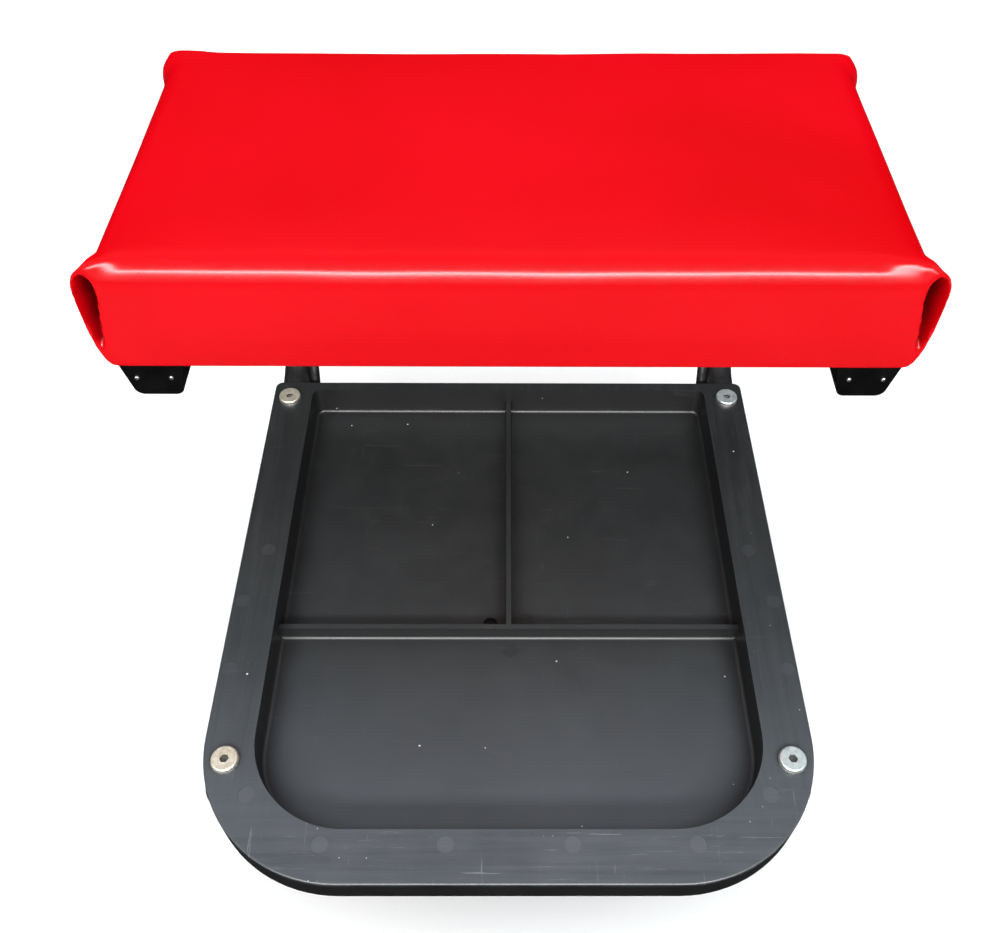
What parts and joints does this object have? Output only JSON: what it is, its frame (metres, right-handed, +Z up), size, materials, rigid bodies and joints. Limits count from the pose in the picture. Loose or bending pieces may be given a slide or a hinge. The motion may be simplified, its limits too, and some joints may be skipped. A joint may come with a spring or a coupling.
{
  "type": "creeper seat",
  "caption": "Rolling mechanic's seat: padded oblong cushion on a bent tube frame over a divided tool tray, on swivel casters.",
  "frame": {"origin": "on the floor, below the middle of the whole object", "axes": "+Z up; -Y towards the round end of the tray; +Y towards the uprights of the frame; +X to the right seen from the round end"},
  "size_m": [0.358, 0.42, 0.3655],
  "materials": {
    "vinyl": "smooth red vinyl, satin",
    "foam": "upholstery foam",
    "plywood": "raw plywood",
    "frame_paint": "black powder coat",
    "tray_plastic": "moulded black plastic, satin",
    "cap_plastic": "moulded black plastic",
    "zinc_steel": "bright zinc plate",
    "bearing_steel": "bare bearing steel",
    "hub_plastic": "moulded black nylon",
    "tread_rubber": "black rubber"
  },
  "bodies": {
    "root": {"frame_tube": "frame_paint", "frame_brace_left": "frame_paint", "frame_brace_right": "frame_paint", "tool_tray": "tray_plastic", "seat_board": "plywood", "seat_foam": "foam", "seat_cover": "vinyl", "cover_staples": "zinc_steel", "seat_tee_nuts": "zinc_steel", "seat_bolts": "zinc_steel", "rail_end_cap_left": "cap_plastic", "rail_end_cap_right": "cap_plastic", "rail_end_rivets": "zinc_steel", "caster_bolts": "zinc_steel", "bolt_washers": "zinc_steel", "saddle_spacers": "cap_plastic", "caster_cap_front_left": "zinc_steel", "caster_balls_front_left": "bearing_steel", "kingpin_front_left": "bearing_steel", "caster_cap_front_right": "zinc_steel", "caster_balls_front_right": "bearing_steel", "kingpin_front_right": "bearing_steel", "caster_cap_rear_left": "zinc_steel", "caster_balls_rear_left": "bearing_steel", "kingpin_rear_left": "bearing_steel", "caster_cap_rear_right": "zinc_steel", "caster_balls_rear_right": "bearing_steel", "kingpin_rear_right": "bearing_steel"},
    "caster_front_left": {"caster_fork_front_left": "zinc_steel", "caster_axle_front_left": "zinc_steel", "axle_nut_front_left": "zinc_steel"},
    "wheel_front_left": {"wheel_hub_front_left": "hub_plastic", "wheel_tread_front_left": "tread_rubber"},
    "caster_front_right": {"caster_fork_front_right": "zinc_steel", "caster_axle_front_right": "zinc_steel", "axle_nut_front_right": "zinc_steel"},
    "wheel_front_right": {"wheel_hub_front_right": "hub_plastic", "wheel_tread_front_right": "tread_rubber"},
    "caster_rear_left": {"caster_fork_rear_left": "zinc_steel", "caster_axle_rear_left": "zinc_steel", "axle_nut_rear_left": "zinc_steel"},
    "wheel_rear_left": {"wheel_hub_rear_left": "hub_plastic", "wheel_tread_rear_left": "tread_rubber"},
    "caster_rear_right": {"caster_fork_rear_right": "zinc_steel", "caster_axle_rear_right": "zinc_steel", "axle_nut_rear_right": "zinc_steel"},
    "wheel_rear_right": {"wheel_hub_rear_right": "hub_plastic", "wheel_tread_rear_right": "tread_rubber"}
  },
  "joints": [
    {"name": "swivel_front_left", "type": "hinge", "parent": "root", "child": "caster_front_left", "pos_m": [-0.15454, -0.144, 0.0688], "axis": [0, 0, 1], "continuous": true},
    {"name": "roll_front_left", "type": "hinge", "parent": "caster_front_left", "child": "wheel_front_left", "pos_m": [-0.15454, -0.12, 0.03175], "axis": [1, 0, 0], "continuous": true},
    {"name": "swivel_front_right", "type": "hinge", "parent": "root", "child": "caster_front_right", "pos_m": [0.15454, -0.144, 0.0688], "axis": [0, 0, 1], "continuous": true},
    {"name": "roll_front_right", "type": "hinge", "parent": "caster_front_right", "child": "wheel_front_right", "pos_m": [0.15454, -0.12, 0.03175], "axis": [1, 0, 0], "continuous": true},
    {"name": "swivel_rear_left", "type": "hinge", "parent": "root", "child": "caster_rear_left", "pos_m": [-0.156, 0.128, 0.0688], "axis": [0, 0, 1], "continuous": true},
    {"name": "roll_rear_left", "type": "hinge", "parent": "caster_rear_left", "child": "wheel_rear_left", "pos_m": [-0.156, 0.152, 0.03175], "axis": [1, 0, 0], "continuous": true},
    {"name": "swivel_rear_right", "type": "hinge", "parent": "root", "child": "caster_rear_right", "pos_m": [0.156, 0.128, 0.0688], "axis": [0, 0, 1], "continuous": true},
    {"name": "roll_rear_right", "type": "hinge", "parent": "caster_rear_right", "child": "wheel_rear_right", "pos_m": [0.156, 0.152, 0.03175], "axis": [1, 0, 0], "continuous": true}
  ]
}
